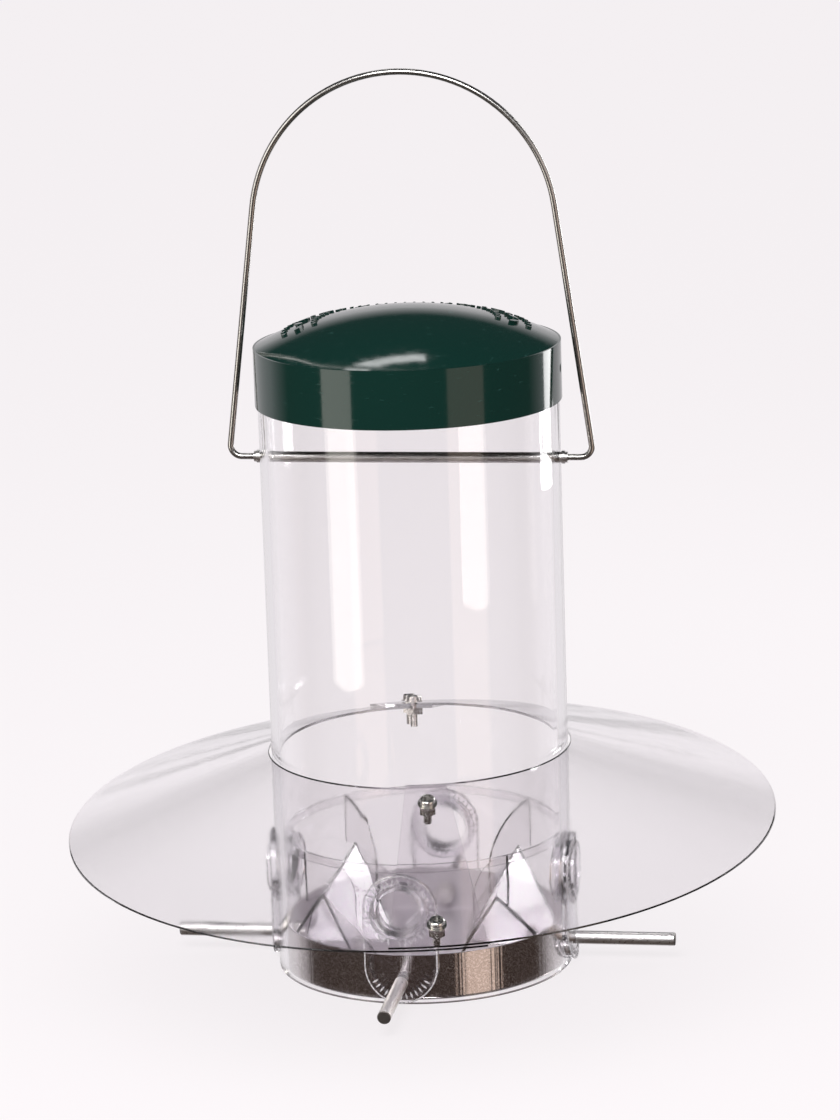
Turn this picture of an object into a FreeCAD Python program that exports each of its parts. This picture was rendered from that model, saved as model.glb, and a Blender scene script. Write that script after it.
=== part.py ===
"""Hanging seed feeder for small garden birds: a clear tube with a domed cap, a wire bail on a
crossbar, a two-piece clear rain guard, four feeding ports with perches, and a polished base pan.

Frame: millimetres, +Z up, origin at the middle of the base. The four ports face -Y (front), +Y,
-X and +X, and the crossbar lies along X.
"""
import FreeCAD, Part
import math
import os
import Sketcher

Vector = FreeCAD.Vector
Rotation = FreeCAD.Rotation
Placement = FreeCAD.Placement
Z_AXIS = Vector(0, 0, 1)

document = FreeCAD.newDocument("SeedFeeder")

# ---------------------------------------------------------------- driving dimensions
DRIVING_SIZES = {
    # clear tube, stood on its lower end
    "tube_diameter": 110.0,
    "tube_wall": 3.0,
    "tube_height": 233.2,
    # domed cap, dropped over the top of the tube
    "cap_diameter": 112.0,
    "cap_wall": 0.7,
    "cap_ledge": 0.7,
    "cap_bottom": 212.8,
    "cap_skirt": 21.2,
    "cap_rise": 12.7,
    "cap_side_hole": 3.0,
    # crossbar tube and the wire bail that turns in its ends
    "crossbar_height": 191.5,
    "crossbar_diameter": 4.0,
    "crossbar_bore": 2.45,
    "crossbar_length": 116.0,
    "crossbar_flare": 4.8,
    "wire_diameter": 2.3,
    "bail_rise": 140.8,
    "bail_half_width": 67.4,
    "bail_top_radius": 55.6,
    "bail_corner_radius": 4.1,
    "bail_end_reach": 47.0,
    # polished pan inside the lower end of the tube
    "pan_height": 18.0,
    "pan_wall": 0.8,
    "pan_lift": 0.5,
    # feeding ports
    "port_height": 34.8,
    "port_opening": 17.0,
    "port_collar": 20.0,
    "port_lip": 0.7,
    "plate_width": 27.4,
    "plate_length": 48.0,
    "plate_thickness": 2.0,
    "plate_foot": 0.8,
    "bezel_diameter": 24.4,
    "bezel_depth": 2.6,
    # perches, each screwed through the pan wall
    "perch_height": 8.5,
    "perch_diameter": 5.0,
    "perch_reach": 94.0,
    "stud_diameter": 4.0,
    "stud_reach": 46.0,
    "perch_nut_width": 7.0,
    "perch_nut_thickness": 3.2,
    # clear seed divider that stands in the pan
    "divider_top": 51.5,
    "divider_band": 3.0,
    "divider_sheet": 1.0,
    # rain guard: two half cones screwed together at a front and a back seam
    "guard_inner_radius": 56.0,
    "guard_outer_radius": 131.5,
    "guard_top": 82.3,
    "guard_drop": 27.5,
    "guard_tilt": 3.6,
    "guard_side_tilt": 1.1,
    "guard_sheet": 1.0,
    "guard_overlap": 15.0,
    "seam_angle": 11.5,
    "seam_inner_screw": 65.2,
    "seam_outer_screw": 122.0,
    # M3 screws, washers and nuts of the guard
    "screw_diameter": 3.0,
    "screw_length": 10.0,
    "screw_head_diameter": 5.6,
    "screw_head_height": 2.2,
    "washer_diameter": 7.0,
    "washer_thickness": 0.5,
    "nut_width": 5.5,
    "nut_thickness": 2.4,
    # clearance between pieces that only touch
    "fit_gap": 0.1,
}

sheet = document.addObject("Spreadsheet::Sheet", "Dims")
for row, (alias, value) in enumerate(DRIVING_SIZES.items(), start=1):
    sheet.set(f"A{row}", str(value))
    sheet.setAlias(f"A{row}", alias)
document.recompute()


def size(alias):
    """Value of one driving dimension, read back from the sheet."""
    return float(sheet.get(alias))


# ---------------------------------------------------------------- bound building blocks
ALONG_Y = Rotation(Vector(1, 0, 0), 90)   # turns a primitive's +Z to -Y, towards the front port
ALONG_X = Rotation(Vector(0, 1, 0), 90)   # turns a primitive's +Z to +X


def place(thing, rotation, x="0", y="0", z="0"):
    """Turn a primitive and bind its position to expressions."""
    thing.Placement = Placement(Vector(), rotation)
    for axis, expression in (("x", x), ("y", y), ("z", z)):
        thing.setExpression(f"Placement.Base.{axis}", expression)
    return thing


def cylinder(name, radius, height, rotation=Rotation(), x="0", y="0", z="0"):
    """Cylinder with its radius, height and place bound to the sheet."""
    solid = document.addObject("Part::Cylinder", name)
    solid.setExpression("Radius", radius)
    solid.setExpression("Height", height)
    return place(solid, rotation, x, y, z)


def hexagon(name, across_flats, height, rotation=Rotation(), x="0", y="0", z="0"):
    """Hexagonal prism with its width across flats bound to the sheet."""
    solid = document.addObject("Part::Prism", name)
    solid.Polygon = 6
    solid.setExpression("Circumradius", f"{across_flats} / 2 / cos(30 deg)")
    solid.setExpression("Height", height)
    return place(solid, rotation, x, y, z)


def ball(name, radius, z):
    """Full sphere on the Z axis."""
    solid = document.addObject("Part::Sphere", name)
    solid.setExpression("Radius", radius)
    return place(solid, Rotation(), z=z)


def fuse(name, *members):
    """Union of several solids."""
    joined = document.addObject("Part::MultiFuse", name)
    joined.Shapes = list(members)
    joined.Refine = True
    return joined


def common(name, first, second):
    """Intersection of two solids."""
    overlap = document.addObject("Part::MultiCommon", name)
    overlap.Shapes = [first, second]
    overlap.Refine = True
    return overlap


def cut(name, base, tool):
    """One solid with another taken away."""
    remainder = document.addObject("Part::Cut", name)
    remainder.Base = base
    remainder.Tool = tool
    remainder.Refine = True
    return remainder


def plane_of(body, role):
    """Origin plane of a body, found by its role."""
    return next(item for item in body.Origin.OriginFeatures if item.Role == role)


def circle_sketch(body, name, role, circles):
    """Sketch of circles; each is a height on the sketch's vertical axis and a diameter expression."""
    sketch = body.newObject("Sketcher::SketchObject", name)
    sketch.AttachmentSupport = [(plane_of(body, role), "")]
    sketch.MapMode = "FlatFace"
    for height, diameter in circles:
        index = sketch.addGeometry(Part.Circle(Vector(0, 10, 0), Z_AXIS, 5.0), False)
        sketch.addConstraint(Sketcher.Constraint("DistanceX", index, 3, 0.0))
        vertical = sketch.addConstraint(Sketcher.Constraint("DistanceY", -1, 1, index, 3, 10.0))
        across = sketch.addConstraint(Sketcher.Constraint("Diameter", index, 10.0))
        sketch.setExpression(f"Constraints[{vertical}]", height)
        sketch.setExpression(f"Constraints[{across}]", diameter)
    return sketch


finished = []


def finish(thing, node):
    """Name a sub-part and put it on the list of nodes to write."""
    thing.Label = node
    finished.append((node, thing))
    return thing


SIDES = (("front", 0), ("right", 90), ("back", 180), ("left", 270))


def on_side(angle):
    """Placement that turns a piece made at the front port round to another port."""
    return Placement(Vector(), Rotation(Z_AXIS, angle))


# ---------------------------------------------------------------- clear feeder tube
def make_feeder_tube():
    """Extruded tube, drilled for four port collars, four perches and the crossbar."""
    body = document.addObject("PartDesign::Body", "FeederTube")
    ring = circle_sketch(body, "TubeRing", "XY_Plane", [
        ("0", "Dims.tube_diameter"),
        ("0", "Dims.tube_diameter - 2 * Dims.tube_wall"),
    ])
    wall = body.newObject("PartDesign::Pad", "TubeWall")
    wall.Profile = ring
    wall.setExpression("Length", "Dims.tube_height")
    document.recompute()
    port_hole = ("Dims.port_height", "Dims.port_collar + 2 * Dims.fit_gap")
    perch_hole = ("Dims.perch_height", "Dims.perch_diameter + 2 * Dims.fit_gap")
    bar_hole = ("Dims.crossbar_height", "Dims.crossbar_diameter + 2 * Dims.fit_gap")
    for name, role, circles in (
        ("FrontBackHoles", "XZ_Plane", [port_hole, perch_hole]),
        ("SideHoles", "YZ_Plane", [port_hole, perch_hole, bar_hole]),
    ):
        volume_before = body.Shape.Volume
        drill = body.newObject("PartDesign::Pocket", name)
        drill.Profile = circle_sketch(body, name + "Sketch", role, circles)
        drill.SideType = "Symmetric"
        drill.Type = "ThroughAll"
        document.recompute()
        if body.Shape.Volume > volume_before - 100:
            raise RuntimeError(f"{name} cut nothing")
    return finish(body, "feeder_tube")


# ---------------------------------------------------------------- domed cap
def make_cap():
    """Thin deep-drawn cap: straight skirt, small ledge, shallow dome and two side holes."""
    dome_foot = "(Dims.cap_diameter / 2 - Dims.cap_ledge)"
    dome_radius = f"(({dome_foot} * {dome_foot} + Dims.cap_rise * Dims.cap_rise) / 2 / Dims.cap_rise)"
    junction = "(Dims.cap_bottom + Dims.cap_skirt)"
    dome_centre = f"({junction} + Dims.cap_rise - {dome_radius})"
    skirt = cylinder("CapSkirt", "Dims.cap_diameter / 2", "Dims.cap_skirt", z="Dims.cap_bottom")
    column = cylinder("CapColumn", dome_foot, "Dims.cap_skirt + Dims.cap_rise", z="Dims.cap_bottom + 1")
    dome = common("CapDome", ball("CapBall", dome_radius, dome_centre), column)
    solid_cap = fuse("CapSolid", skirt, dome)
    inside = cylinder("CapInside", "Dims.cap_diameter / 2 - Dims.cap_wall",
                      "Dims.cap_skirt + Dims.cap_rise + 2", z="Dims.cap_bottom - 1")
    hollow_ball = ball("CapHollowBall", f"{dome_radius} - Dims.cap_wall", dome_centre)
    hollow = common("CapHollow", hollow_ball, inside)
    shell = cut("CapShell", solid_cap, hollow)
    hole = cylinder("CapSideHole", "Dims.cap_side_hole / 2", "Dims.cap_diameter + 10", ALONG_X,
                    x="-Dims.cap_diameter / 2 - 5", z=f"Dims.cap_bottom + Dims.cap_skirt * 0.55")
    return finish(cut("Cap", shell, hole), "cap")


# ---------------------------------------------------------------- crossbar and bail
def make_crossbar():
    """Metal tube through the feeder tube, flared outside each wall so it can't slide out."""
    start = "-Dims.crossbar_length / 2"
    bar = cylinder("BarTube", "Dims.crossbar_diameter / 2", "Dims.crossbar_length", ALONG_X,
                   x=start, z="Dims.crossbar_height")
    flares = []
    for name, x in (("FlareLeft", "-Dims.tube_diameter / 2 - 2.0"), ("FlareRight", "Dims.tube_diameter / 2 + 0.8")):
        flares.append(cylinder(name, "Dims.crossbar_flare / 2", "1.2", ALONG_X,
                               x=x, z="Dims.crossbar_height"))
    bore = cylinder("BarBore", "Dims.crossbar_bore / 2", "Dims.crossbar_length + 2", ALONG_X,
                    x=f"{start} - 1", z="Dims.crossbar_height")
    return finish(cut("Crossbar", fuse("BarFlared", bar, *flares), bore), "crossbar")


def make_bail():
    """One length of wire: both ends turn in the crossbar, two straight legs lean in to a round top."""
    pivot = size("crossbar_height")
    top_radius = size("bail_top_radius")
    corner = size("bail_corner_radius")
    # each leg runs from its corner and touches the top arc
    top_centre = Vector(0, 0, pivot + size("bail_rise") - top_radius)
    corner_point = Vector(size("bail_half_width"), 0, pivot)
    to_corner = corner_point - top_centre
    lean = math.atan2(to_corner.x, -to_corner.z) - math.asin(top_radius / to_corner.Length)
    leg_direction = Vector(-math.sin(lean), 0, math.cos(lean))
    joining_point = top_centre + Vector(math.cos(lean), 0, math.sin(lean)) * top_radius
    # the corner is an arc that touches both the leg and the horizontal end
    inner_angle = math.pi / 2 - lean
    back_off = corner / math.tan(inner_angle / 2)
    bend_start = corner_point - Vector(back_off, 0, 0)
    bend_end = corner_point + leg_direction * back_off
    bisector = (leg_direction - Vector(1, 0, 0)).normalize()
    bend_middle = corner_point + bisector * (corner / math.sin(inner_angle / 2) - corner)
    wire_end = Vector(size("bail_end_reach"), 0, pivot)

    def mirrored(point):
        return Vector(-point.x, point.y, point.z)

    right_side = [
        Part.LineSegment(wire_end, bend_start),
        Part.Arc(bend_start, bend_middle, bend_end),
        Part.LineSegment(bend_end, joining_point),
    ]
    top = Part.Arc(joining_point, top_centre + Vector(0, 0, top_radius), mirrored(joining_point))
    left_side = [
        Part.LineSegment(mirrored(joining_point), mirrored(bend_end)),
        Part.Arc(mirrored(bend_end), mirrored(bend_middle), mirrored(bend_start)),
        Part.LineSegment(mirrored(bend_start), mirrored(wire_end)),
    ]
    path = Part.Wire([edge.toShape() for edge in right_side + [top] + left_side])
    section = Part.Wire([Part.makeCircle(size("wire_diameter") / 2, wire_end, Vector(1, 0, 0))])
    bail = document.addObject("Part::Feature", "Bail")
    bail.Shape = path.makePipeShell([section], True, False)
    return finish(bail, "bail")


# ---------------------------------------------------------------- base pan
def make_base_pan():
    """Spun metal pan inside the foot of the tube, drilled for the perch studs."""
    outside = "Dims.tube_diameter / 2 - Dims.tube_wall - Dims.fit_gap"
    cup = cylinder("PanOutside", outside, "Dims.pan_height - Dims.pan_lift", z="Dims.pan_lift")
    rounded = document.addObject("Part::Fillet", "PanRounded")
    rounded.Base = cup
    document.recompute()
    foot_edge = next(
        index for index, edge in enumerate(cup.Shape.Edges, start=1)
        if edge.Closed and abs(edge.BoundBox.ZMax - size("pan_lift")) < 0.01
    )
    rounded.Edges = [(foot_edge, 1.5, 1.5)]
    inside = cylinder("PanInside", f"{outside} - Dims.pan_wall", "Dims.pan_height",
                      z="Dims.pan_lift + Dims.pan_wall")
    pan = cut("PanCup", rounded, inside)
    drills = []
    for name, rotation, start in (("PanDrillY", ALONG_Y, "y"), ("PanDrillX", ALONG_X, "x")):
        sign = "" if start == "y" else "-"
        drills.append(cylinder(name, "Dims.stud_diameter / 2 + Dims.fit_gap", "Dims.tube_diameter",
                               rotation, z="Dims.perch_height",
                               **{start: f"{sign}Dims.tube_diameter / 2"}))
    return finish(cut("BasePan", pan, fuse("PanDrills", *drills)), "base_pan")


# ---------------------------------------------------------------- feeding ports
def slot_sketch(body):
    """Upright slot with round ends, the outline of a port plate."""
    sketch = body.newObject("Sketcher::SketchObject", "PlateOutline")
    sketch.AttachmentSupport = [(plane_of(body, "XZ_Plane"), "")]
    sketch.MapMode = "FlatFace"
    radius = size("plate_width") / 2
    low = size("plate_foot") + radius
    high = size("plate_foot") + size("plate_length") - radius
    bottom_arc = Part.ArcOfCircle(Part.Circle(Vector(0, low, 0), Z_AXIS, radius), math.pi, 2 * math.pi)
    right_side = Part.LineSegment(Vector(radius, low, 0), Vector(radius, high, 0))
    top_arc = Part.ArcOfCircle(Part.Circle(Vector(0, high, 0), Z_AXIS, radius), 0, math.pi)
    left_side = Part.LineSegment(Vector(-radius, high, 0), Vector(-radius, low, 0))
    for curve in (bottom_arc, right_side, top_arc, left_side):
        sketch.addGeometry(curve, False)
    for first, first_end, second, second_end in ((0, 2, 1, 1), (1, 2, 2, 1), (2, 2, 3, 1), (3, 2, 0, 1)):
        sketch.addConstraint(Sketcher.Constraint("Tangent", first, first_end, second, second_end))
    sketch.addConstraint(Sketcher.Constraint("Vertical", 1))
    sketch.addConstraint(Sketcher.Constraint("DistanceX", 0, 3, 0.0))
    bend = sketch.addConstraint(Sketcher.Constraint("Radius", 0, radius))
    foot = sketch.addConstraint(Sketcher.Constraint("DistanceY", -1, 1, 0, 3, low))
    spread = sketch.addConstraint(Sketcher.Constraint("DistanceY", 0, 3, 2, 3, high - low))
    sketch.setExpression(f"Constraints[{bend}]", "Dims.plate_width / 2")
    sketch.setExpression(f"Constraints[{foot}]", "Dims.plate_foot + Dims.plate_width / 2")
    sketch.setExpression(f"Constraints[{spread}]", "Dims.plate_length - Dims.plate_width")
    return sketch


def make_port_plate(side, angle):
    """Clear plate curved to the tube, with a collar through the wall and a hole for its perch."""
    tag = side.capitalize()
    body = document.addObject("PartDesign::Body", f"PlateBlank{tag}")
    block = body.newObject("PartDesign::Pad", f"PlateBlock{tag}")
    block.Profile = slot_sketch(body)
    block.SideType = "Symmetric"
    block.setExpression("Length", "2 * Dims.tube_diameter")
    front_only = document.addObject("Part::Box", f"PlateFrontHalf{tag}")
    for prop, expression in (("Length", "Dims.plate_width + 10"), ("Width", "Dims.tube_diameter"),
                             ("Height", "Dims.plate_length + 10")):
        front_only.setExpression(prop, expression)
    place(front_only, Rotation(), x="-Dims.plate_width / 2 - 5", y="-Dims.tube_diameter")
    blank = common(f"PlateBlankHalf{tag}", body, front_only)
    tube_outside = "Dims.tube_diameter / 2 + Dims.fit_gap / 2"
    shell = cut(
        f"PlateShell{tag}",
        cylinder(f"PlateOuter{tag}", f"{tube_outside} + Dims.plate_thickness", "Dims.plate_length + 10"),
        cylinder(f"PlateInner{tag}", tube_outside, "Dims.plate_length + 10"),
    )
    curved = common(f"PlateCurved{tag}", blank, shell)
    inner_end = "(Dims.tube_diameter / 2 - Dims.tube_wall - Dims.bezel_depth)"
    outer_end = "(Dims.tube_diameter / 2 + Dims.plate_thickness + Dims.port_lip)"
    lip_start = "(Dims.tube_diameter / 2 + Dims.fit_gap / 2)"
    collar = cylinder(f"PlateCollar{tag}", "Dims.port_collar / 2", f"{outer_end} - {inner_end}",
                      ALONG_Y, y=f"-{inner_end}", z="Dims.port_height")
    lip = cylinder(f"PlateLip{tag}", "Dims.port_collar / 2 + 0.6", f"{outer_end} - {lip_start}",
                   ALONG_Y, y=f"-{lip_start}", z="Dims.port_height")
    opening = cylinder(f"PlateOpening{tag}", "Dims.port_opening / 2", "Dims.tube_diameter",
                       ALONG_Y, z="Dims.port_height")
    perch_hole = cylinder(f"PlatePerchHole{tag}", "Dims.perch_diameter / 2 + Dims.fit_gap",
                          "Dims.tube_diameter", ALONG_Y, z="Dims.perch_height")
    whole = fuse(f"PlateWhole{tag}", curved, collar, lip)
    plate = cut(f"PortPlate{tag}", whole, fuse(f"PlateHoles{tag}", opening, perch_hole))
    plate.Placement = on_side(angle)
    return finish(plate, f"port_plate_{side}")


def make_port_bezel(side, angle):
    """Ring pushed over the collar inside the tube, which holds the plate on."""
    tag = side.capitalize()
    bore_radius = "(Dims.tube_diameter / 2 - Dims.tube_wall - Dims.fit_gap)"
    shell = cut(
        f"BezelShell{tag}",
        cylinder(f"BezelOuter{tag}", bore_radius, "Dims.divider_top"),
        cylinder(f"BezelInner{tag}", f"{bore_radius} - Dims.bezel_depth + Dims.fit_gap", "Dims.divider_top"),
    )
    disc = cylinder(f"BezelDisc{tag}", "Dims.bezel_diameter / 2", "Dims.tube_diameter", ALONG_Y,
                    z="Dims.port_height")
    bore = cylinder(f"BezelBore{tag}", "Dims.port_collar / 2 + Dims.fit_gap / 2", "Dims.tube_diameter",
                    ALONG_Y, z="Dims.port_height")
    ring = cut(f"PortBezel{tag}", common(f"BezelBlank{tag}", shell, disc), bore)
    ring.Placement = on_side(angle)
    return finish(ring, f"port_bezel_{side}")


def make_perch(side, angle):
    """Solid rod; its shoulder bears on the pan and its thinner stud passes through the pan wall."""
    tag = side.capitalize()
    shoulder = "(Dims.tube_diameter / 2 - Dims.tube_wall - Dims.fit_gap / 2)"
    rod = cylinder(f"PerchRod{tag}", "Dims.perch_diameter / 2", f"Dims.perch_reach - {shoulder}",
                   ALONG_Y, y=f"-{shoulder}", z="Dims.perch_height")
    chamfered = document.addObject("Part::Chamfer", f"PerchChamfered{tag}")
    chamfered.Base = rod
    document.recompute()
    tip_edge = next(
        index for index, edge in enumerate(rod.Shape.Edges, start=1)
        if edge.Closed and abs(edge.BoundBox.YMax + size("perch_reach")) < 0.01
    )
    chamfered.Edges = [(tip_edge, 0.4, 0.4)]
    stud = cylinder(f"PerchStud{tag}", "Dims.stud_diameter / 2", f"{shoulder} - Dims.stud_reach + 0.5",
                    ALONG_Y, y="-Dims.stud_reach", z="Dims.perch_height")
    perch = fuse(f"Perch{tag}", chamfered, stud)
    perch.Placement = on_side(angle)
    return finish(perch, f"perch_{side}")


def make_perch_nuts():
    """Four nuts on the perch studs, tight against the inside of the pan."""
    pan_bore = "(Dims.tube_diameter / 2 - Dims.tube_wall - Dims.fit_gap - Dims.pan_wall)"
    seat = f"({pan_bore} - 0.3 - Dims.perch_nut_thickness)"
    nuts = []
    for side, angle in SIDES:
        tag = side.capitalize()
        blank = hexagon(f"PerchNutBlank{tag}", "Dims.perch_nut_width", "Dims.perch_nut_thickness",
                        ALONG_Y, y=f"-{seat}", z="Dims.perch_height")
        bore = cylinder(f"PerchNutBore{tag}", "Dims.stud_diameter / 2 + Dims.fit_gap / 2",
                        "Dims.perch_nut_thickness + 2", ALONG_Y, y=f"1 - {seat}", z="Dims.perch_height")
        nut = cut(f"PerchNut{tag}", blank, bore)
        nut.Placement = on_side(angle)
        nuts.append(nut)
    group = document.addObject("Part::Compound", "PerchNuts")
    group.Links = nuts
    return finish(group, "perch_nuts")


# ---------------------------------------------------------------- seed divider
def make_seed_divider():
    """Moulded clear insert: a rim band, a fin in each of the four corners between the ports, and
    under each fin a steep two-sided ramp that turns the seed out of the corner to the ports."""
    bore = size("tube_diameter") / 2 - size("tube_wall")
    rim_radius = bore - size("fit_gap")
    inner_radius = rim_radius - size("divider_sheet")
    top = size("divider_top")
    thickness = size("divider_sheet")
    floor = size("pan_lift") + size("pan_wall") + size("fit_gap")
    ridge_slope = 1.27     # rise of the ridge per millimetre outwards
    flank_slope = 1.07     # fall of each flank per millimetre sideways
    ridge_at_wall = 43.7   # height that the ridge line would have at the bore of the tube
    ramp_edge = 45.0       # distance from the middle at which the flanks end

    def ridge_height(outwards):
        return ridge_at_wall - ridge_slope * (bore - outwards)

    band = Part.makeCylinder(rim_radius, size("divider_band"), Vector(0, 0, top - size("divider_band")))
    band = band.cut(Part.makeCylinder(inner_radius, size("divider_band"),
                                      Vector(0, 0, top - size("divider_band"))))
    # fin outline in the plane of one corner: X outwards, Z up
    fin_inner = 31.2
    curve_top = Vector(rim_radius - thickness / 2, -thickness / 2, top - 0.2)
    curve_middle = Vector(39.2, -thickness / 2, 44.6)
    curve_end = Vector(fin_inner, -thickness / 2, 32.0)
    inner_foot = Vector(fin_inner, -thickness / 2, ridge_height(fin_inner) - 1.0)
    ridge_end = Vector(ramp_edge, -thickness / 2, ridge_height(ramp_edge) - 1.0)
    wall_foot = Vector(rim_radius - thickness / 2, -thickness / 2, 32.5)
    outline = Part.Wire([
        Part.Arc(curve_top, curve_middle, curve_end).toShape(),
        Part.LineSegment(curve_end, inner_foot).toShape(),
        Part.LineSegment(inner_foot, ridge_end).toShape(),
        Part.LineSegment(ridge_end, wall_foot).toShape(),
        Part.LineSegment(wall_foot, curve_top).toShape(),
    ])
    fin = Part.Face(outline).extrude(Vector(0, thickness, 0))
    # one flank is a sloping sheet, trimmed to the pan, to the floor and to the ramp's outer edge
    room = Part.makeCylinder(inner_radius - size("pan_wall"), top, Vector(0, 0, floor))
    room = room.common(Part.makeBox(ramp_edge, 100, top, Vector(0, -50, floor)))
    flanks = []
    for turn in (1, -1):
        start = 10.0
        end = 60.0
        across = 45.0 * turn
        corners = [
            Vector(start, 0, ridge_height(start)),
            Vector(end, 0, ridge_height(end)),
            Vector(end, across, ridge_height(end) - flank_slope * abs(across)),
            Vector(start, across, ridge_height(start) - flank_slope * abs(across)),
        ]
        face = Part.Face(Part.makePolygon(corners + corners[:1]))
        sheet_body = face.extrude(Vector(0, 0, -thickness * math.hypot(1, ridge_slope, flank_slope)))
        flanks.append(sheet_body.common(room))
    corner = fin.fuse(flanks)
    pieces = []
    for quarter in range(4):
        turned = corner.copy()
        turned.rotate(Vector(), Z_AXIS, 45 + 90 * quarter)
        pieces.append(turned)
    divider = document.addObject("Part::Feature", "SeedDivider")
    divider.Shape = band.fuse(pieces).removeSplitter()
    return finish(divider, "seed_divider")


# ---------------------------------------------------------------- rain guard
SEAM_DIRECTION = size("seam_angle") - 90   # azimuth of the front seam about +Z


RIM_MARGIN = 2.0                           # the cone is made this much wider at each rim, then trimmed


def guard_rims():
    """Radius and mean height of the two circles that the untrimmed cone is ruled between."""
    inner = size("guard_inner_radius") - RIM_MARGIN
    outer = size("guard_outer_radius") + RIM_MARGIN
    steepness = size("guard_drop") / (size("guard_outer_radius") - size("guard_inner_radius"))
    margin_rise = RIM_MARGIN * steepness
    return inner, size("guard_top") + margin_rise, outer, size("guard_top") - size("guard_drop") - margin_rise


def guard_surface(radius, back):
    """Height and slope of the guard's upper face at one radius along the front or back seam."""
    inner, inner_height, outer, outer_height = guard_rims()
    tilt = math.radians(size("guard_tilt")) * (-1 if back else 1)
    rim_radius = outer * math.cos(tilt)
    rim_height = outer_height - outer * math.sin(tilt)
    fall = (inner_height - rim_height) / (rim_radius - inner)
    return inner_height - fall * (radius - inner), math.atan(fall)


def guard_cone():
    """Whole thin cone, made with the front seam along +X; its rim dips towards that seam and
    a little to the left."""
    inner, inner_height, outer, outer_height = guard_rims()
    inner_circle = Part.makeCircle(inner, Vector(0, 0, inner_height), Z_AXIS)
    outer_circle = Part.makeCircle(outer, Vector(), Z_AXIS)
    outer_circle.rotate(Vector(), Vector(1, 0, 0), size("guard_side_tilt"))
    outer_circle.rotate(Vector(), Vector(0, 1, 0), size("guard_tilt"))
    outer_circle.translate(Vector(0, 0, outer_height))
    solid = Part.makeLoft([Part.Wire([outer_circle]), Part.Wire([inner_circle])], True, True)
    lower = solid.copy()
    lower.translate(Vector(0, 0, -size("guard_sheet")))
    disc = Part.makeCylinder(size("guard_outer_radius"), 120)
    bore = Part.makeCylinder(size("guard_inner_radius"), 120)
    return solid.cut(lower).common(disc).cut(bore)


def seam_frames():
    """Placement of each guard screw: origin on the lower sheet's upper face, Z along the screw."""
    frames = []
    for back in (False, True):
        for radius in (size("seam_inner_screw"), size("seam_outer_screw")):
            height, slope = guard_surface(radius, back)
            lean = Rotation(Vector(0, 1, 0), math.degrees(slope))
            turn = Rotation(Z_AXIS, SEAM_DIRECTION + (180 if back else 0))
            frames.append((Placement(turn.multVec(Vector(radius, 0, height)), turn * lean), slope))
    return frames


def make_guard_halves():
    """Two half cones; the right one lies over the left one at both seams."""
    cone = guard_cone()
    span = 180 + size("guard_overlap")
    drills = []
    for frame, _ in seam_frames():
        drill = Part.makeCylinder(size("screw_diameter") / 2 + size("fit_gap"), 12, Vector(0, 0, -6))
        drill.Placement = frame
        drills.append(drill)
    for side, lift, first in (("right", size("guard_sheet") + size("fit_gap"), 0), ("left", 0, 180)):
        sector = Part.makeCylinder(size("guard_outer_radius") + 20, 120, Vector(), Z_AXIS, span)
        sector.rotate(Vector(), Z_AXIS, first - size("guard_overlap") / 2)
        sheet_body = cone.copy()
        sheet_body.translate(Vector(0, 0, lift))
        sheet_body = sheet_body.common(sector)
        sheet_body.rotate(Vector(), Z_AXIS, SEAM_DIRECTION)
        half = document.addObject("Part::Feature", f"GuardHalf{side.capitalize()}")
        half.Shape = sheet_body.cut(Part.makeCompound(drills))
        finish(half, f"guard_half_{side}")


def screw_shape(seat):
    """Pan head screw with a cross recess; seat is the height of the washer's upper face."""
    head_radius = size("screw_head_diameter") / 2
    head_height = size("screw_head_height")
    head = Part.makeCylinder(head_radius, head_height, Vector(0, 0, seat))
    crown = max(head.Edges, key=lambda edge: edge.BoundBox.ZMin)
    head = head.makeFillet(head_height * 0.45, [crown])
    recess_depth = head_height * 0.6
    for length, width in ((3.0, 0.8), (0.8, 3.0)):
        recess = Part.makeBox(length, width, recess_depth,
                              Vector(-length / 2, -width / 2, seat + head_height - recess_depth))
        head = head.cut(recess)
    shank = Part.makeCylinder(size("screw_diameter") / 2, size("screw_length"),
                              Vector(0, 0, seat - size("screw_length")))
    return head.fuse(shank)


def ring_shape(outer_radius, thickness, bottom):
    """Flat washer."""
    bore = Part.makeCylinder(size("screw_diameter") / 2 + size("fit_gap"), thickness, Vector(0, 0, bottom))
    return Part.makeCylinder(outer_radius, thickness, Vector(0, 0, bottom)).cut(bore)


def nut_shape(bottom):
    """Plain hexagon nut."""
    circumradius = size("nut_width") / 2 / math.cos(math.radians(30))
    corners = [Vector(circumradius * math.cos(math.radians(60 * step)),
                      circumradius * math.sin(math.radians(60 * step)), bottom) for step in range(7)]
    prism = Part.Face(Part.makePolygon(corners)).extrude(Vector(0, 0, size("nut_thickness")))
    bore = Part.makeCylinder(size("screw_diameter") / 2 + size("fit_gap") / 2, size("nut_thickness"),
                             Vector(0, 0, bottom))
    return prism.cut(bore)


def make_guard_fasteners():
    """Screws and washers above the guard and nuts beneath it, one group of each."""
    screws = []
    washers = []
    nuts = []
    gap = 1.5 * size("fit_gap")
    for frame, slope in seam_frames():
        upper_face = (size("guard_sheet") + gap) * math.cos(slope) + gap
        lower_face = -size("guard_sheet") * math.cos(slope) - gap
        seat = upper_face + size("washer_thickness") + gap / 2
        for group, shape in (
            (screws, screw_shape(seat)),
            (washers, ring_shape(size("washer_diameter") / 2, size("washer_thickness"), upper_face)),
            (nuts, nut_shape(lower_face - size("nut_thickness"))),
        ):
            shape.Placement = frame
            group.append(shape)
    for node, shapes in (("guard_screws", screws), ("guard_washers", washers), ("guard_nuts", nuts)):
        group = document.addObject("Part::Feature", node.title().replace("_", ""))
        group.Shape = Part.makeCompound(shapes)
        finish(group, node)


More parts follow.
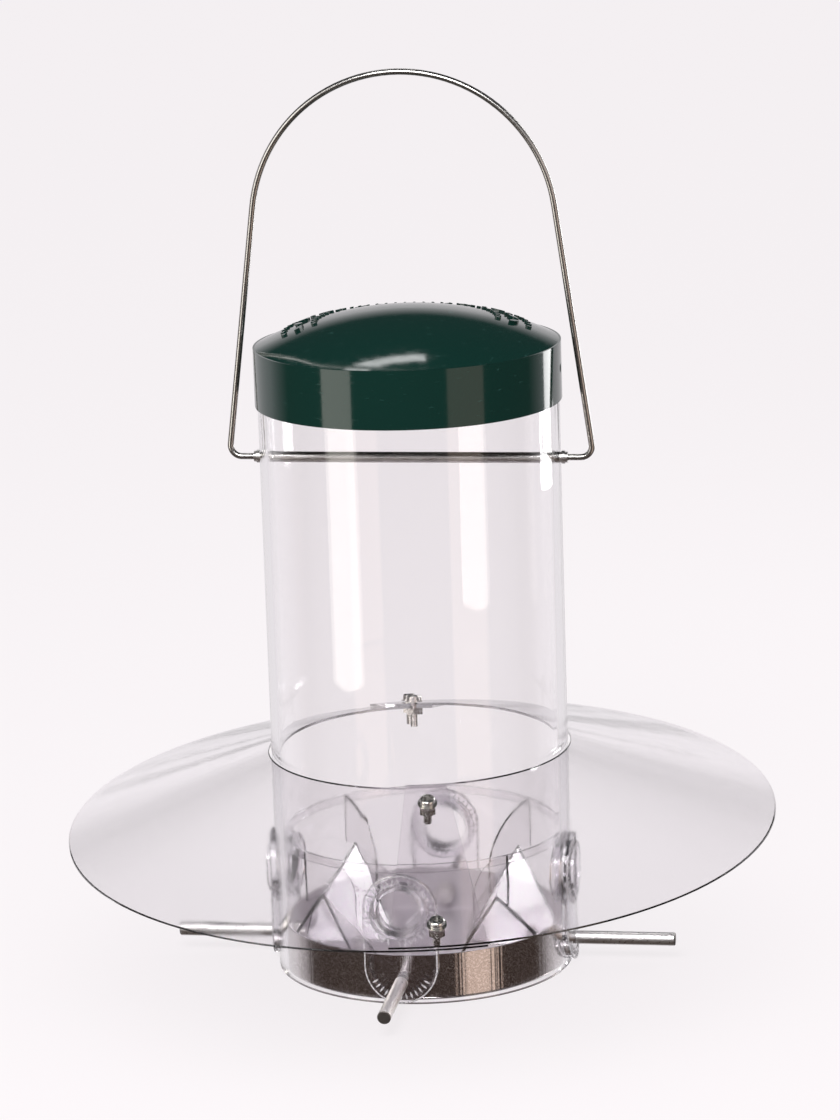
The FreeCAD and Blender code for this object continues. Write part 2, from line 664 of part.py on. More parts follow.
# ---------------------------------------------------------------- build, check and write
make_feeder_tube()
make_cap()
make_crossbar()
make_bail()
make_base_pan()
make_seed_divider()
for port_side, port_angle in SIDES:
    make_port_plate(port_side, port_angle)
    make_port_bezel(port_side, port_angle)
    make_perch(port_side, port_angle)
make_perch_nuts()
make_guard_halves()
make_guard_fasteners()
document.recompute()

for item in document.Objects:
    if "Invalid" in item.State or "Error" in item.State:
        raise RuntimeError(f"{item.Name} failed: {item.State}")
for node, thing in finished:
    if thing.Shape.isNull() or not thing.Shape.isValid() or not thing.Shape.Solids:
        raise RuntimeError(f"{node} has no valid solid")

os.makedirs("parts", exist_ok=True)
for node, thing in finished:
    thing.Shape.exportStep(f"parts/{node}.step")
    box = thing.Shape.optimalBoundingBox()
    print(f"{node:18s} solids {len(thing.Shape.Solids):2d} volume {thing.Shape.Volume:10.1f}  "
          f"x {box.XMin:7.1f} {box.XMax:7.1f}  y {box.YMin:7.1f} {box.YMax:7.1f}  "
          f"z {box.ZMin:7.1f} {box.ZMax:7.1f}")
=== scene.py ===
import math

import bpy
from mathutils import Matrix, Vector


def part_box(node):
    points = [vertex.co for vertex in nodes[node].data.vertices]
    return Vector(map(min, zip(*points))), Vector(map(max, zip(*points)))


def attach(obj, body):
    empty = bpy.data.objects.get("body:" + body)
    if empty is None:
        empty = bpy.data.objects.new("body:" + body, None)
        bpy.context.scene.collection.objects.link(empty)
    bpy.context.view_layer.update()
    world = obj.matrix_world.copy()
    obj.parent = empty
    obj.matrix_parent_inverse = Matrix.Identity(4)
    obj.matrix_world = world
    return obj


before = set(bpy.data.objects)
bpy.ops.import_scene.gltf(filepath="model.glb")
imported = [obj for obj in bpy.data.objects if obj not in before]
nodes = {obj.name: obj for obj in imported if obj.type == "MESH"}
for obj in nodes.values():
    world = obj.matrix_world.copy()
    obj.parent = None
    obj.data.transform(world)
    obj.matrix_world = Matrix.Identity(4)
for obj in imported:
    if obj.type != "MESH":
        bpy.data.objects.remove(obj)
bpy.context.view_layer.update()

# ---------------------------------------------------------------- feeder tube
# A length of extruded clear acrylic tube, 110 mm across with a 3 mm wall, cut square and drilled.
# The die leaves faint lines along it, and washing leaves it very slightly hazed in patches.
MM = 0.001


def linear(hex_colour):
    """Linear RGBA for an sRGB hex colour."""
    channels = [int(hex_colour[i:i + 2], 16) / 255 for i in (1, 3, 5)]
    return [c / 12.92 if c <= 0.04045 else ((c + 0.055) / 1.055) ** 2.4 for c in channels] + [1.0]


def add_node(tree, kind, inputs=(), **settings):
    """Adds a node; each input is a (socket, value or output socket) pair."""
    node = tree.nodes.new(kind)
    for name, value in settings.items():
        setattr(node, name, value)
    for socket, value in inputs:
        if isinstance(value, bpy.types.NodeSocket):
            tree.links.new(value, node.inputs[socket])
        else:
            node.inputs[socket].default_value = value
    return node


def new_material(name):
    """Empty node material and its tree."""
    material = bpy.data.materials.new(name)
    material.use_nodes = True
    material.node_tree.nodes.clear()
    return material, material.node_tree


def paint(material, *names):
    """Gives CAD nodes one material."""
    for name in names:
        mesh = nodes[name].data
        mesh.materials.clear()
        mesh.materials.append(material)


def pattern(tree, per_metre, stretch=(1, 1, 1), detail=3.0):
    """Noise with features about one over per_metre apart, in the piece's own coordinates."""
    place = add_node(tree, "ShaderNodeTexCoord").outputs["Object"]
    mapped = add_node(tree, "ShaderNodeMapping", [
        ("Vector", place), ("Scale", stretch)]).outputs["Vector"]
    return add_node(tree, "ShaderNodeTexNoise", [
        ("Vector", mapped), ("Scale", per_metre), ("Detail", detail)]).outputs["Fac"]


def finish_clear(tree, tint, refraction, roughness, normal):
    """Clear plastic that bends light, and lets the lamps through to what is behind it."""
    surface = add_node(tree, "ShaderNodeBsdfPrincipled", [
        ("Base Color", linear(tint)), ("Transmission Weight", 1.0), ("IOR", refraction),
        ("Roughness", roughness), ("Normal", normal)])
    through = add_node(tree, "ShaderNodeBsdfTransparent", [("Color", linear(tint))])
    lamp_ray = add_node(tree, "ShaderNodeLightPath").outputs["Is Shadow Ray"]
    mixed = add_node(tree, "ShaderNodeMixShader", [
        (0, lamp_ray), (1, surface.outputs["BSDF"]), (2, through.outputs["BSDF"])])
    add_node(tree, "ShaderNodeOutputMaterial", [("Surface", mixed.outputs["Shader"])])


tube_acrylic, tree = new_material("extruded_acrylic_tube")
# die lines about 1.1 mm apart round the tube and very long along it; haze in 22 mm patches
die_lines = pattern(tree, 900, (1, 1, 0.01))
haze = add_node(tree, "ShaderNodeMapRange", [
    ("Value", pattern(tree, 45)), ("From Min", 0.3), ("From Max", 0.7),
    ("To Min", 0.0), ("To Max", 0.03)]).outputs["Result"]
relief = add_node(tree, "ShaderNodeBump", [
    ("Height", die_lines), ("Strength", 0.05), ("Distance", 0.02 * MM)]).outputs["Normal"]
finish_clear(tree, "#FFFEFF", 1.49, haze, relief)
paint(tube_acrylic, "feeder_tube")

# ---------------------------------------------------------------- port plates and bezels
# Injection-moulded clear polycarbonate: a curved plate with a collar through the tube wall, and
# a ring pressed on the collar inside. Glossy, with hairline scratches from the perch and beaks.
moulded_clear, tree = new_material("moulded_polycarbonate")
# scratches about 2 mm apart, five times as long up the plate; dull patches of about 8 mm
scratches = pattern(tree, 500, (1, 1, 0.2), 6.0)
dulling = add_node(tree, "ShaderNodeMapRange", [
    ("Value", pattern(tree, 120)), ("From Min", 0.3), ("From Max", 0.7),
    ("To Min", 0.0), ("To Max", 0.06)]).outputs["Result"]
relief = add_node(tree, "ShaderNodeBump", [
    ("Height", scratches), ("Strength", 0.12), ("Distance", 0.04 * MM)]).outputs["Normal"]
finish_clear(tree, "#FBFAFC", 1.58, dulling, relief)
SIDES = ("front", "back", "left", "right")
paint(moulded_clear, *(f"port_plate_{side}" for side in SIDES))
paint(moulded_clear, *(f"port_bezel_{side}" for side in SIDES))

# ---------------------------------------------------------------- seed divider
# One thin injection moulding that stands in the pan: rim band, corner fins and steep ramps.
# Its thin walls are a little wavy, and they are slightly dulled in patches by the seed.
divider_clear, tree = new_material("moulded_clear_divider")
# dull patches of about 12 mm, waves of about 17 mm
dulling = add_node(tree, "ShaderNodeMapRange", [
    ("Value", pattern(tree, 80)), ("From Min", 0.3), ("From Max", 0.7),
    ("To Min", 0.02), ("To Max", 0.05)]).outputs["Result"]
relief = add_node(tree, "ShaderNodeBump", [
    ("Height", pattern(tree, 60)), ("Strength", 0.03), ("Distance", 0.2 * MM)]).outputs["Normal"]
finish_clear(tree, "#FDFCFD", 1.55, dulling, relief)
paint(divider_clear, "seed_divider")

# ---------------------------------------------------------------- rain guard
# Two halves cut from 1 mm clear sheet and pulled into a cone, lapped and screwed at two seams.
# The cold bend leaves broad shallow waves that run out from the middle, and the sheet has a
# faint violet cast.


def from_axis(tree):
    """Level vector from the feeder's upright axis to the point being shaded."""
    place = add_node(tree, "ShaderNodeTexCoord").outputs["Object"]
    return add_node(tree, "ShaderNodeVectorMath", [
        (0, place), (1, (1, 1, 0))], operation="MULTIPLY").outputs["Vector"]


def round_axis(tree, per_radian, detail):
    """Noise that changes only with the direction from the upright axis, so it runs out in rays."""
    outward = add_node(tree, "ShaderNodeVectorMath", [
        (0, from_axis(tree))], operation="NORMALIZE").outputs["Vector"]
    return add_node(tree, "ShaderNodeTexNoise", [
        ("Vector", outward), ("Scale", per_radian), ("Detail", detail)]).outputs["Fac"]


guard_sheet, tree = new_material("cold_bent_clear_sheet")
# about 19 waves round the cone, dull patches of about 17 mm
dulling = add_node(tree, "ShaderNodeMapRange", [
    ("Value", pattern(tree, 60)), ("From Min", 0.3), ("From Max", 0.7),
    ("To Min", 0.02), ("To Max", 0.07)]).outputs["Result"]
waves = round_axis(tree, 3.0, 1.0)
relief = add_node(tree, "ShaderNodeBump", [
    ("Height", waves), ("Strength", 0.15), ("Distance", 2 * MM)]).outputs["Normal"]
finish_clear(tree, "#FFFDFF", 1.50, dulling, relief)
paint(guard_sheet, "guard_half_left", "guard_half_right")

# ---------------------------------------------------------------- guard fasteners
# Small zinc-plated steel screws, washers and nuts. The plating is bright but slightly mottled.
# The perch nuts are plated in the same way.


def finish_metal(tree, colour, metallic, roughness, normal):
    """Metal surface from its colour, how bare it is, its roughness and its normal."""
    metal = add_node(tree, "ShaderNodeBsdfPrincipled", [
        ("Base Color", colour), ("Metallic", metallic), ("Roughness", roughness),
        ("Normal", normal)])
    add_node(tree, "ShaderNodeOutputMaterial", [("Surface", metal.outputs["BSDF"])])


zinc, tree = new_material("bright_zinc_plate")
# mottle about 1.1 mm across, drawn coarser than the real one so that it shows
mottle = pattern(tree, 900)
roughness = add_node(tree, "ShaderNodeMapRange", [
    ("Value", mottle), ("From Min", 0.3), ("From Max", 0.7),
    ("To Min", 0.14), ("To Max", 0.30)]).outputs["Result"]
relief = add_node(tree, "ShaderNodeBump", [
    ("Height", mottle), ("Strength", 0.2), ("Distance", 0.05 * MM)]).outputs["Normal"]
finish_metal(tree, linear("#DAD8D4"), 1.0, roughness, relief)
paint(zinc, "guard_screws", "guard_washers", "guard_nuts", "perch_nuts")

# ---------------------------------------------------------------- base pan
# Deep-drawn stainless cup, mirror polished. Drawing and polishing leave fine upright lines round
# its wall, handling leaves dull specks, and seed dust leaves a pale bloom inside.
PAN_INSIDE = 51.2 * MM       # the bloom ends within the wall, between these two radii
PAN_OUTSIDE = 51.7 * MM
BLOOM_ROUGHNESS = 0.28
BLOOM_COVER = 0.75           # share of the bare metal that the bloom hides

pan_steel, tree = new_material("polished_stainless_pan")
# draw lines about 1.2 mm apart round the wall, with finer ones between them
draw_lines = round_axis(tree, 45.0, 5.0)
# specks about 0.7 mm across
specks = pattern(tree, 1400, detail=1.0)
speck_share = add_node(tree, "ShaderNodeMapRange", [
    ("Value", specks), ("From Min", 0.45), ("From Max", 0.7)]).outputs["Result"]
speck_roughness = add_node(tree, "ShaderNodeMapRange", [
    ("Value", specks), ("From Min", 0.3), ("From Max", 0.7),
    ("To Min", 0.06), ("To Max", 0.16)]).outputs["Result"]
steel = add_node(tree, "ShaderNodeMix", [
    ("Factor", speck_share), ("A", linear("#C4BFBD")), ("B", linear("#DEDADA"))], data_type="RGBA")
reach = add_node(tree, "ShaderNodeVectorMath", [(0, from_axis(tree))], operation="LENGTH")
bloomed = add_node(tree, "ShaderNodeMapRange", [
    ("Value", reach.outputs["Value"]), ("From Min", PAN_INSIDE), ("From Max", PAN_OUTSIDE),
    ("To Min", 1.0), ("To Max", 0.0)]).outputs["Result"]
colour = add_node(tree, "ShaderNodeMix", [
    ("Factor", bloomed), ("A", steel.outputs["Result"]), ("B", linear("#DEDADE"))],
    data_type="RGBA")
roughness = add_node(tree, "ShaderNodeMix", [
    ("Factor", bloomed), ("A", speck_roughness), ("B", BLOOM_ROUGHNESS)], data_type="FLOAT")
bare = add_node(tree, "ShaderNodeMath", [
    (0, bloomed), (1, -BLOOM_COVER), (2, 1.0)], operation="MULTIPLY_ADD")
relief = add_node(tree, "ShaderNodeBump", [
    ("Height", draw_lines), ("Strength", 0.18), ("Distance", 0.6 * MM)]).outputs["Normal"]
finish_metal(
    tree, colour.outputs["Result"], bare.outputs["Value"], roughness.outputs["Result"], relief)
paint(pan_steel, "base_pan")

# ---------------------------------------------------------------- perches
# Solid aluminium rod in mill finish with a fine grain. The outer end is sawn and chamfered, so
# it is rougher than the rod; the darker colour given to that end is painted shade.
SAWN_START = 93.55 * MM      # reaches from the feeder's axis between which the rod turns dull
SAWN_FULL = 93.75 * MM
SAWN_ROUGHNESS = 0.5

rod_aluminium, tree = new_material("drawn_aluminium_rod")
reach = add_node(tree, "ShaderNodeVectorMath", [(0, from_axis(tree))], operation="LENGTH")
sawn_end_and_painted_shade = add_node(tree, "ShaderNodeMapRange", [
    ("Value", reach.outputs["Value"]), ("From Min", SAWN_START),
    ("From Max", SAWN_FULL)]).outputs["Result"]
# painted shade: the outer end is mixed towards a darker grey, the sawn finish only sets its
# roughness
colour = add_node(tree, "ShaderNodeMix", [
    ("Factor", sawn_end_and_painted_shade), ("A", linear("#E8E7E5")), ("B", linear("#6E6B68"))], data_type="RGBA")
# grain about 0.9 mm across, drawn coarser than the real one so that it shows
grain = pattern(tree, 1100)
rod_roughness = add_node(tree, "ShaderNodeMapRange", [
    ("Value", grain), ("From Min", 0.3), ("From Max", 0.7),
    ("To Min", 0.26), ("To Max", 0.42)]).outputs["Result"]
roughness = add_node(tree, "ShaderNodeMix", [
    ("Factor", sawn_end_and_painted_shade), ("A", rod_roughness), ("B", SAWN_ROUGHNESS)], data_type="FLOAT")
relief = add_node(tree, "ShaderNodeBump", [
    ("Height", grain), ("Strength", 0.08), ("Distance", 0.02 * MM)]).outputs["Normal"]
finish_metal(tree, colour.outputs["Result"], 1.0, roughness.outputs["Result"], relief)
paint(rod_aluminium, *(f"perch_{side}" for side in SIDES))

# ---------------------------------------------------------------- crossbar and bail
# Thin aluminium tube flared over at both ends, and one piece of bright drawn stainless wire. Both
# keep a fine grain from the die.
bar_metal, tree = new_material("drawn_aluminium_tube")
# grain about 0.7 mm wide and twenty times as long along the bar
grain = pattern(tree, 1500, (0.05, 1, 1))
roughness = add_node(tree, "ShaderNodeMapRange", [
    ("Value", grain), ("From Min", 0.3), ("From Max", 0.7),
    ("To Min", 0.2), ("To Max", 0.4)]).outputs["Result"]
relief = add_node(tree, "ShaderNodeBump", [
    ("Height", grain), ("Strength", 0.2), ("Distance", 0.03 * MM)]).outputs["Normal"]
finish_metal(tree, linear("#DCDAD8"), 1.0, roughness, relief)
paint(bar_metal, "crossbar")

wire_steel, tree = new_material("drawn_stainless_wire")
# grain about 0.8 mm across
grain = pattern(tree, 1200)
roughness = add_node(tree, "ShaderNodeMapRange", [
    ("Value", grain), ("From Min", 0.3), ("From Max", 0.7),
    ("To Min", 0.20), ("To Max", 0.27)]).outputs["Result"]
relief = add_node(tree, "ShaderNodeBump", [
    ("Height", grain), ("Strength", 0.02), ("Distance", 0.02 * MM)]).outputs["Normal"]
finish_metal(tree, linear("#B9B7B4"), 1.0, roughness, relief)
paint(wire_steel, "bail")

# ---------------------------------------------------------------- cap
# Moulded plastic cap in dark bottle green, high gloss, with very fine pale handling scuffs. Its
# moulded relief is the next section.
cap_green, tree = new_material("gloss_green_moulding")
# scuffs about 4 mm long and 1 mm high with fine detail, waves of about 3 mm
scuffs = pattern(tree, 260, (1, 1, 4), 8.0)
scuffed = add_node(tree, "ShaderNodeMapRange", [
    ("Value", scuffs), ("From Min", 0.66), ("From Max", 0.85)]).outputs["Result"]
colour = add_node(tree, "ShaderNodeMix", [
    ("Factor", scuffed), ("A", linear("#08241F")), ("B", linear("#234440"))], data_type="RGBA")
roughness = add_node(tree, "ShaderNodeMapRange", [
    ("Value", scuffs), ("From Min", 0.4), ("From Max", 0.8),
    ("To Min", 0.07), ("To Max", 0.14)]).outputs["Result"]
relief = add_node(tree, "ShaderNodeBump", [
    ("Height", pattern(tree, 300)), ("Strength", 0.05), ("Distance", 0.06 * MM)]).outputs["Normal"]
plastic = add_node(tree, "ShaderNodeBsdfPrincipled", [
    ("Base Color", colour.outputs["Result"]), ("Roughness", roughness), ("IOR", 1.5),
    ("Normal", relief)])
add_node(tree, "ShaderNodeOutputMaterial", [("Surface", plastic.outputs["BSDF"])])
paint(cap_green, "cap")

# ---------------------------------------------------------------- cap relief
# An arc of small raised leaves between two rows of bars, moulded on the far side of the dome. It
# is part of the same moulding, so it has the cap's gloss. The leaves rise 1 mm, the bars 0.7 mm.
CAP_LEDGE_RADIUS = 55.3 * MM
CAP_RISE = 12.7 * MM
DOME_RADIUS = (CAP_LEDGE_RADIUS ** 2 + CAP_RISE ** 2) / (2 * CAP_RISE)
DOME_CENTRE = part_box("cap")[1][2] - DOME_RADIUS
LEAF_RISE = 1.0 * MM
LEAF_RING = 39.0 * MM
LEAF_LEAN = 35               # degrees, to one side and the other by turns
BAR_RISE = 0.7 * MM
BAR_RINGS = (33.4 * MM, 44.4 * MM)
ARC_START = 4                # degrees round the dome from +X


def start_bar(length, width, height, edge):
    """One raised bar at the origin, long in X, with rounded edges and tapered ends."""
    bpy.ops.object.select_all(action="DESELECT")
    bpy.ops.mesh.primitive_cube_add(size=1, location=(0, 0, 0))
    bar = bpy.context.object
    bpy.ops.object.mode_set(mode="EDIT")
    bpy.ops.mesh.select_all(action="SELECT")
    bpy.ops.transform.resize(value=(length, width, height))
    bpy.ops.mesh.subdivide(number_cuts=2)
    bpy.ops.object.mode_set(mode="OBJECT")
    for vertex in bar.data.vertices:
        vertex.co.y *= 1 - 0.75 * (2 * abs(vertex.co.x) / length) ** 2
    rounding = bar.modifiers.new("rounding", "BEVEL")
    rounding.width = edge
    rounding.segments = 2
    bpy.ops.object.modifier_apply(modifier=rounding.name)
    return bar


def join_onto(base, others):
    """Joins other pieces onto the base piece."""
    bpy.ops.object.select_all(action="DESELECT")
    for piece in (base, *others):
        piece.select_set(True)
    bpy.context.view_layer.objects.active = base
    bpy.ops.object.join()
    return base


def copy_mesh(piece, places, name):
    """Joins copies of one finished piece, each put in its place in the mesh."""
    copies = []
    for at in places:
        twin = piece.copy()
        twin.data = piece.data.copy()
        bpy.context.collection.objects.link(twin)
        twin.data.transform(at)
        copies.append(twin)
    whole = join_onto(copies[0], copies[1:])
    whole.name = name
    whole.data.name = name
    bpy.data.objects.remove(piece, do_unlink=True)
    return whole


def on_dome(radius, turn, spin):
    """Place on the dome's outside, lying in its surface; turn goes round the axis, in degrees."""
    lean = math.asin(radius / DOME_RADIUS)
    return (Matrix.Translation((0, 0, DOME_CENTRE)) @ Matrix.Rotation(math.radians(turn), 4, "Z")
            @ Matrix.Rotation(lean, 4, "Y") @ Matrix.Translation((0, 0, DOME_RADIUS))
            @ Matrix.Rotation(math.radians(spin), 4, "Z"))


# each bar is sunk by half its height, so it rises by the other half
leaf = start_bar(5.6 * MM, 2.2 * MM, 2 * LEAF_RISE, 0.25 * MM)
leaf_places = [
    on_dome(LEAF_RING, ARC_START + step * 12, 90 + (LEAF_LEAN if step % 2 else -LEAF_LEAN))
    for step in range(17)]
bar = start_bar(2.2 * MM, 1.1 * MM, 2 * BAR_RISE, 0.2 * MM)
bar_places = [on_dome(ring, ARC_START + step * 6, 0) for ring in BAR_RINGS for step in range(33)]
for relief_piece in (copy_mesh(leaf, leaf_places, "cap_relief_leaves"),
                     copy_mesh(bar, bar_places, "cap_relief_bars")):
    relief_piece.data.materials.clear()
    relief_piece.data.materials.append(cap_green)
    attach(relief_piece, "cap")

# ---------------------------------------------------------------- port plate marks
# Fine raised lines round each port and round the plate, short strokes round the port and over the
# plate's foot. They are moulded with the plate and rubbed slightly dull, so they catch the light.
PLATE_FACE = 57.05 * MM
PORT_HEIGHT = 34.8 * MM
MARK_RISE = 0.25 * MM
LINE_RADIUS = 0.28 * MM
PORT_STROKE_RING = 11.8 * MM
FOOT_STROKE_RING = 11.0 * MM
FOOT_CENTRE = 14.5 * MM      # height of the round foot's centre
OUTLINE_RADIUS = 13.35 * MM
OUTLINE_TOP = 35.1 * MM      # height of the round top's centre
OUTLINE_DROP = 20.6 * MM     # from there down to the round foot's centre
PORT_LINE_RADIUS = 10.4 * MM


def on_plate(sideways, height, spin):
    """Place on the front plate's curved face; spin turns the mark in that face, in degrees."""
    across = sideways / PLATE_FACE
    return (Matrix.Rotation(across, 4, "Z") @ Matrix.Translation((0, -PLATE_FACE, height))
            @ Matrix.Rotation(math.radians(90), 4, "X")
            @ Matrix.Rotation(math.radians(spin), 4, "Z"))


def bead(radius, drop, height):
    """Fine raised line round the port, stretched downwards into a slot and bent to the plate."""
    bpy.ops.object.select_all(action="DESELECT")
    bpy.ops.mesh.primitive_torus_add(
        major_radius=radius, minor_radius=LINE_RADIUS, major_segments=96, minor_segments=8)
    line = bpy.context.object
    for vertex in line.data.vertices:
        upwards = vertex.co.y - (drop if vertex.co.y < 0 else 0)
        vertex.co = on_plate(vertex.co.x, height + upwards, 0) @ Vector((0, 0, vertex.co.z))
    line.data.update()
    return line


def stroke_place(ring, height, degrees, spin):
    """Place of a stroke on a ring round the point at this height on the front plate."""
    turn = math.radians(degrees)
    return on_plate(ring * math.cos(turn), height + ring * math.sin(turn), degrees + spin)


rubbed_clear, tree = new_material("rubbed_clear_relief")
# dulling about 1.4 mm across, grain about 1.1 mm across
roughness = add_node(tree, "ShaderNodeMapRange", [
    ("Value", pattern(tree, 700)), ("From Min", 0.3), ("From Max", 0.7),
    ("To Min", 0.15), ("To Max", 0.4)]).outputs["Result"]
relief = add_node(tree, "ShaderNodeBump", [
    ("Height", pattern(tree, 900)), ("Strength", 0.1), ("Distance", 0.04 * MM)]).outputs["Normal"]
surface = add_node(tree, "ShaderNodeBsdfPrincipled", [
    ("Base Color", linear("#F2F1F3")), ("Transmission Weight", 0.55), ("IOR", 1.58),
    ("Roughness", roughness), ("Normal", relief)])
add_node(tree, "ShaderNodeOutputMaterial", [("Surface", surface.outputs["BSDF"])])

stroke = start_bar(2.4 * MM, 0.7 * MM, 2 * MARK_RISE, 0.08 * MM)
port_strokes = [stroke_place(PORT_STROKE_RING, PORT_HEIGHT, 10 * step, 25 if step % 2 else -20)
                for step in range(36) if step % 9 != 8]
foot_strokes = [stroke_place(FOOT_STROKE_RING, FOOT_CENTRE, 210 + 10 * step, 0)
                for step in range(13)]
marks = copy_mesh(stroke, port_strokes + foot_strokes, "port_marks_front")
outline = bead(OUTLINE_RADIUS, OUTLINE_DROP, OUTLINE_TOP)
port_line = bead(PORT_LINE_RADIUS, 0, PORT_HEIGHT)
join_onto(marks, [outline, port_line])
all_marks = [marks]
for side, angle in (("right", 90), ("back", 180), ("left", 270)):
    turned = marks.copy()
    turned.data = marks.data.copy()
    turned.name = turned.data.name = f"port_marks_{side}"
    bpy.context.collection.objects.link(turned)
    turned.data.transform(Matrix.Rotation(math.radians(angle), 4, "Z"))
    all_marks.append(turned)
for piece in all_marks:
    piece.data.materials.clear()
    piece.data.materials.append(rubbed_clear)
    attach(piece, "feeder")

# ---------------------------------------------------------------- studio
# Pale floor, dim surroundings with a few soft panels for the clear and polished pieces to mirror.
# The floor lets mirrored rays through, so that they see the panels down to below its level.
bpy.ops.object.select_all(action="DESELECT")
bpy.ops.mesh.primitive_plane_add(size=24, location=(0, 0, -0.2 * MM))
floor = bpy.context.object
floor.name = "floor"
floor_white, tree = new_material("pale_sweep")
glow = add_node(tree, "ShaderNodeEmission", [("Color", linear("#F5F1F3")), ("Strength", 1.0)])
matt = add_node(tree, "ShaderNodeBsdfDiffuse", [("Color", linear("#F4F0F2"))])
both = add_node(tree, "ShaderNodeMixShader", [
    (0, 0.12), (1, glow.outputs["Emission"]), (2, matt.outputs["BSDF"])])
seen_in_mirror = add_node(tree, "ShaderNodeMath", [
    (0, add_node(tree, "ShaderNodeLightPath").outputs["Glossy Depth"]), (1, 0.5)],
    operation="GREATER_THAN")
passing = add_node(tree, "ShaderNodeMixShader", [
    (0, seen_in_mirror.outputs["Value"]), (1, both.outputs["Shader"]),
    (2, add_node(tree, "ShaderNodeBsdfTransparent").outputs["BSDF"])])
add_node(tree, "ShaderNodeOutputMaterial", [("Surface", passing.outputs["Shader"])])
floor.data.materials.append(floor_white)

# Mirrored rays see a room. Behind the feeder it is pale low down and dark higher up. On the
# camera's side it is dark low down, with a pale band just above level and a dark ceiling.
CAMERA_TURN = 9.6            # degrees from the front port towards +X
camera_side = (math.sin(math.radians(CAMERA_TURN)), -math.cos(math.radians(CAMERA_TURN)), 0)

world = bpy.data.worlds.new("studio")
world.use_nodes = True
bpy.context.scene.world = world
tree = world.node_tree
tree.nodes.clear()
direction = add_node(tree, "ShaderNodeTexCoord").outputs["Generated"]
height = add_node(tree, "ShaderNodeSeparateXYZ", [(0, direction)]).outputs["Z"]
room = add_node(tree, "ShaderNodeValToRGB", [
    ("Fac", add_node(tree, "ShaderNodeMapRange", [
        ("Value", height), ("From Min", -1.0), ("From Max", 1.0)]).outputs["Result"])])
ramp = room.color_ramp
ramp.elements[0].position, ramp.elements[0].color = 0.30, linear("#4A3F3A")
ramp.elements[1].position, ramp.elements[1].color = 1.0, linear("#2E2E30")
for position, colour in (
        (0.475, "#544944"), (0.56, "#B4B1B5"), (0.70, "#A4A3A6"), (0.82, "#4A4A4C")):
    step = ramp.elements.new(position)
    step.color = linear(colour)
near_side = add_node(tree, "ShaderNodeVectorMath", [
    (0, direction), (1, camera_side)], operation="DOT_PRODUCT").outputs["Value"]
overhead = add_node(tree, "ShaderNodeMapRange", [
    ("Value", height), ("From Min", 0.16), ("From Max", 0.36)]).outputs["Result"]
far_side = add_node(tree, "ShaderNodeMix", [
    ("Factor", overhead),
    ("A", linear("#F0ECEF")), ("B", linear("#34383A"))], data_type="RGBA")
in_front = add_node(tree, "ShaderNodeMapRange", [
    ("Value", near_side), ("From Min", -0.55), ("From Max", -0.2)]).outputs["Result"]
surroundings = add_node(tree, "ShaderNodeMix", [
    ("Factor", in_front),
    ("A", far_side.outputs["Result"]), ("B", room.outputs["Color"])], data_type="RGBA")
mirrored = add_node(tree, "ShaderNodeBackground", [
    ("Color", surroundings.outputs["Result"]), ("Strength", 0.9)])
open_light = add_node(tree, "ShaderNodeBackground", [
    ("Color", linear("#F7F3F5")), ("Strength", 1.0)])
seen_in_mirror = add_node(tree, "ShaderNodeMath", [
    (0, add_node(tree, "ShaderNodeLightPath").outputs["Glossy Depth"]), (1, 0.5)],
    operation="GREATER_THAN")
both = add_node(tree, "ShaderNodeMixShader", [
    (0, seen_in_mirror.outputs["Value"]), (1, open_light.outputs["Background"]),
    (2, mirrored.outputs["Background"])])
add_node(tree, "ShaderNodeOutputWorld", [("Surface", both.outputs["Shader"])])


def panel(name, turn, distance, width, bottom, top, radiance, colour="#FFFFFF", tilt=90):
    """Soft panel that faces the axis; turn is degrees to the right of the camera, and tilt is
    degrees from facing straight down, so 90 stands upright."""
    angle = math.radians(CAMERA_TURN + turn)
    lamp = bpy.data.lights.new(name, "AREA")
    lamp.shape = "RECTANGLE"
    lamp.size = width
    lamp.size_y = top - bottom
    lamp.energy = radiance * math.pi * width * (top - bottom)
    lamp.color = linear(colour)[:3]
    stand = bpy.data.objects.new(name, lamp)
    bpy.context.collection.objects.link(stand)
    stand.location = (math.sin(angle) * distance, -math.cos(angle) * distance, (bottom + top) / 2)
    stand.rotation_euler = (math.radians(tilt), 0, angle)
    stand.visible_camera = False


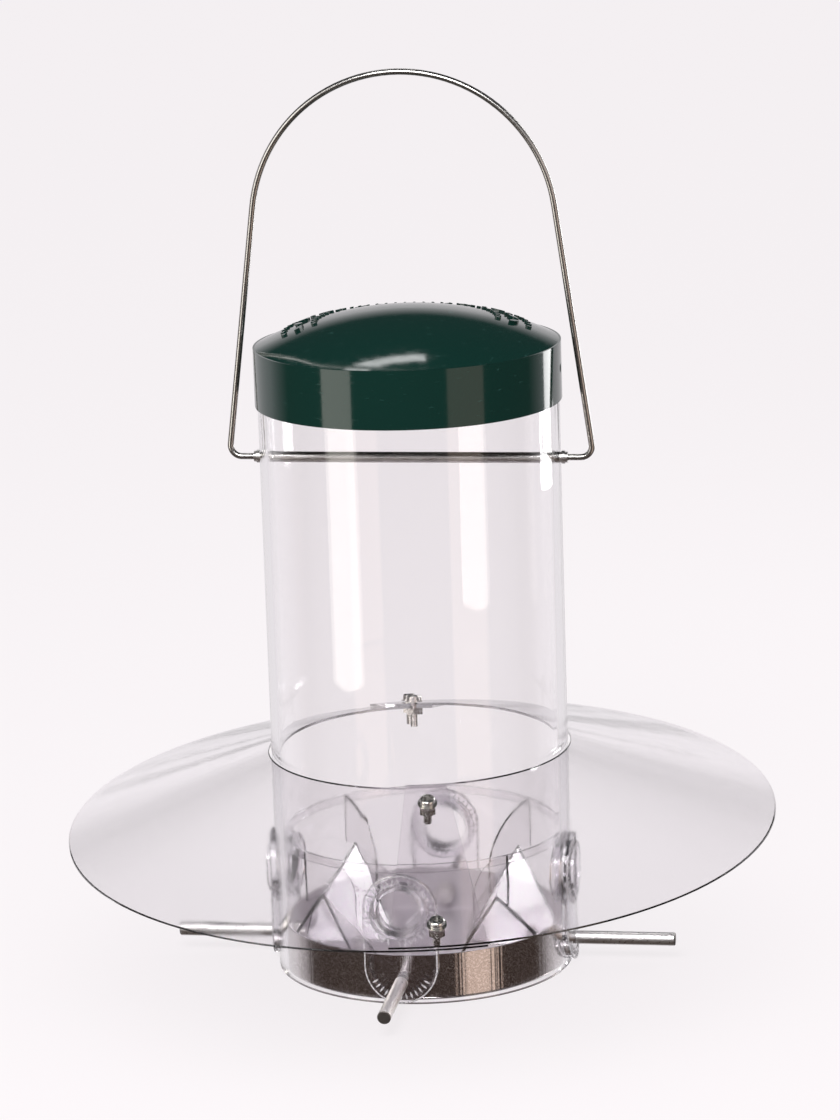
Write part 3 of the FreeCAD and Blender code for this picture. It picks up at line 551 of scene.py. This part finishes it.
panel("left_panel", turn=-54, distance=1.0, width=0.42, bottom=-0.14, top=0.9,
      radiance=2.6, colour="#FFFBF2")
panel("right_panel", turn=42, distance=1.0, width=0.50, bottom=-0.6, top=0.7,
      radiance=0.95, colour="#F4DCCB")
panel("back_panel", turn=126, distance=0.9, width=0.22, bottom=-0.01, top=0.9, radiance=6.0)
panel("front_lamp", turn=-12, distance=0.75, width=0.5, bottom=0.62, top=0.98,
      radiance=14.0, tilt=46)
panel("dome_lamp", turn=190, distance=0.42, width=0.26, bottom=0.90, top=0.96,
      radiance=6.0, tilt=32)

# ---------------------------------------------------------------- camera
CAMERA_DISTANCE = 1.5189
CAMERA_HEIGHT = 0.5125
CAMERA_SIDESTEP = 0.0023
CAMERA_PITCH = 13.33
CAMERA_ROLL = 1.83
CAMERA_LENS = 136.57

turn = math.radians(CAMERA_TURN)
pitch = math.radians(CAMERA_PITCH)
roll = math.radians(CAMERA_ROLL)
towards = Vector((math.sin(turn), -math.cos(turn), 0))
rightwards = Vector((math.cos(turn), math.sin(turn), 0))
upwards = Vector((0, 0, math.cos(pitch))) - towards * math.sin(pitch)
forwards = -towards * math.cos(pitch) - Vector((0, 0, math.sin(pitch)))
across = rightwards * math.cos(roll) - upwards * math.sin(roll)
above = rightwards * math.sin(roll) + upwards * math.cos(roll)
camera_data = bpy.data.cameras.new("camera")
camera_data.lens = CAMERA_LENS
camera = bpy.data.objects.new("camera", camera_data)
bpy.context.collection.objects.link(camera)
camera.matrix_world = Matrix.Translation(
    rightwards * CAMERA_SIDESTEP + towards * CAMERA_DISTANCE + Vector((0, 0, CAMERA_HEIGHT))
) @ Matrix((across, above, -forwards)).transposed().to_4x4()
bpy.context.scene.camera = camera

settings = bpy.context.scene
settings.view_settings.view_transform = "Standard"
settings.cycles.max_bounces = 32
settings.cycles.transmission_bounces = 32
settings.cycles.transparent_max_bounces = 32
settings.cycles.glossy_bounces = 8
settings.cycles.caustics_reflective = False
settings.cycles.caustics_refractive = False
